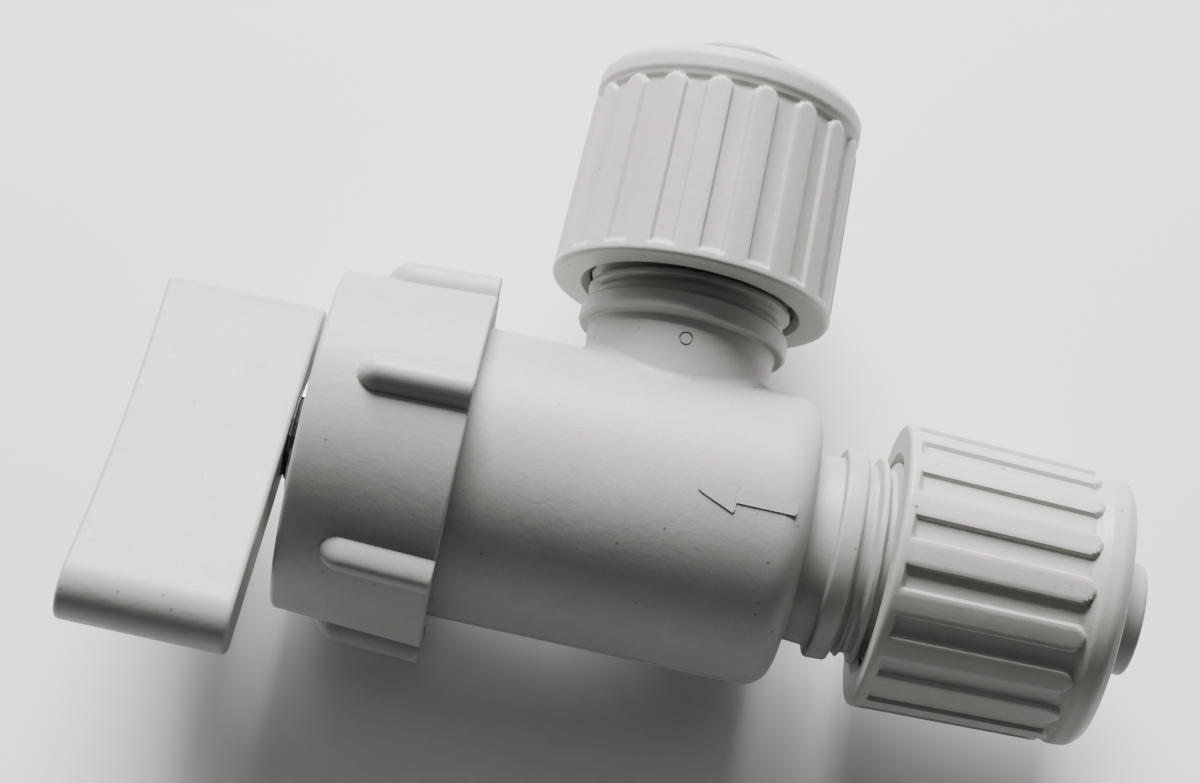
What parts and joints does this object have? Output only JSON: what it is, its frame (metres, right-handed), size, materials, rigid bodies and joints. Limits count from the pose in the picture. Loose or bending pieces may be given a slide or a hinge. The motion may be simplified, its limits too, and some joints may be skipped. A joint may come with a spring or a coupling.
{
  "type": "diaphragm valve",
  "caption": "Plastic angle-pattern diaphragm stop valve with a lever handle, a lugged bonnet nut and fluted compression nuts for flexible water tube.",
  "frame": {"origin": "centre of the inlet insert's mouth, on the valve's main axis", "axes": "+X along the main axis out of the inlet, +Y along the outlet branch, +Z square to both axes"},
  "size_m": [0.1107, 0.0798, 0.0424],
  "materials": {
    "body_plastic": "warm grey moulded plastic, satin with fine grain",
    "bonnet_plastic": "black moulded plastic, satin",
    "nut_plastic": "off-white moulded plastic, satin",
    "acetal": "white acetal, smooth",
    "seal_rubber": "black EPDM rubber",
    "slip_plastic": "slick natural plastic",
    "stainless": "stainless steel, stamped",
    "brass": "turned brass"
  },
  "bodies": {
    "valve": {"valve_body": "body_plastic", "bonnet": "bonnet_plastic", "diaphragm": "seal_rubber", "thrust_washer": "slip_plastic"},
    "handle": {"handle": "body_plastic", "handle_screw": "stainless", "stem": "bonnet_plastic", "stem_o_ring": "seal_rubber", "stem_clip": "stainless"},
    "plunger": {"plunger": "acetal", "diaphragm_screw": "brass"},
    "bonnet_ring": {"bonnet_slip_ring": "slip_plastic"},
    "bonnet_nut": {"bonnet_nut": "body_plastic"},
    "inlet_ring": {"inlet_cone": "acetal", "inlet_spacer": "stainless", "inlet_grip_ring": "acetal"},
    "inlet_nut": {"inlet_nut": "nut_plastic"},
    "outlet_ring": {"outlet_cone": "acetal", "outlet_spacer": "stainless", "outlet_grip_ring": "acetal"},
    "outlet_nut": {"outlet_nut": "nut_plastic"}
  },
  "joints": [
    {"name": "handle_turn", "type": "hinge", "parent": "valve", "child": "handle", "pos_m": [-0.0929, 0, 0], "axis": [-1, 0, 0], "range_deg": [0, 432]},
    {"name": "plunger_slide", "type": "slide", "parent": "valve", "child": "plunger", "axis": [-1, 0, 0], "range_m": [0, 0.00241], "deforming": ["diaphragm"]},
    {"name": "bonnet_ring_slide", "type": "slide", "parent": "valve", "child": "bonnet_ring", "axis": [-1, 0, 0], "range_m": [0, 0.00138]},
    {"name": "bonnet_nut_turn", "type": "hinge", "parent": "bonnet_ring", "child": "bonnet_nut", "pos_m": [-0.0743, 0, 0], "axis": [-1, 0, 0], "range_deg": [0, 225]},
    {"name": "inlet_ring_slide", "type": "slide", "parent": "valve", "child": "inlet_ring", "axis": [1, 0, 0], "range_m": [0, 0.00601]},
    {"name": "inlet_nut_turn", "type": "hinge", "parent": "inlet_ring", "child": "inlet_nut", "pos_m": [-0.0284, 0, 0], "axis": [1, 0, 0], "range_deg": [0, 1080]},
    {"name": "outlet_ring_slide", "type": "slide", "parent": "valve", "child": "outlet_ring", "axis": [0, 1, 0], "range_m": [0, 0.00601]},
    {"name": "outlet_nut_turn", "type": "hinge", "parent": "outlet_ring", "child": "outlet_nut", "pos_m": [-0.0539, 0.0242, 0], "axis": [0, 1, 0], "range_deg": [0, 1080]}
  ],
  "couplings": [
    {"joint": "plunger_slide", "follows": "handle_turn", "m_per_rad": 0.00031831},
    {"joint": "bonnet_ring_slide", "follows": "bonnet_nut_turn", "m_per_rad": 0.00035014},
    {"joint": "inlet_ring_slide", "follows": "inlet_nut_turn", "m_per_rad": 0.00031831},
    {"joint": "outlet_ring_slide", "follows": "outlet_nut_turn", "m_per_rad": 0.00031831}
  ]
}
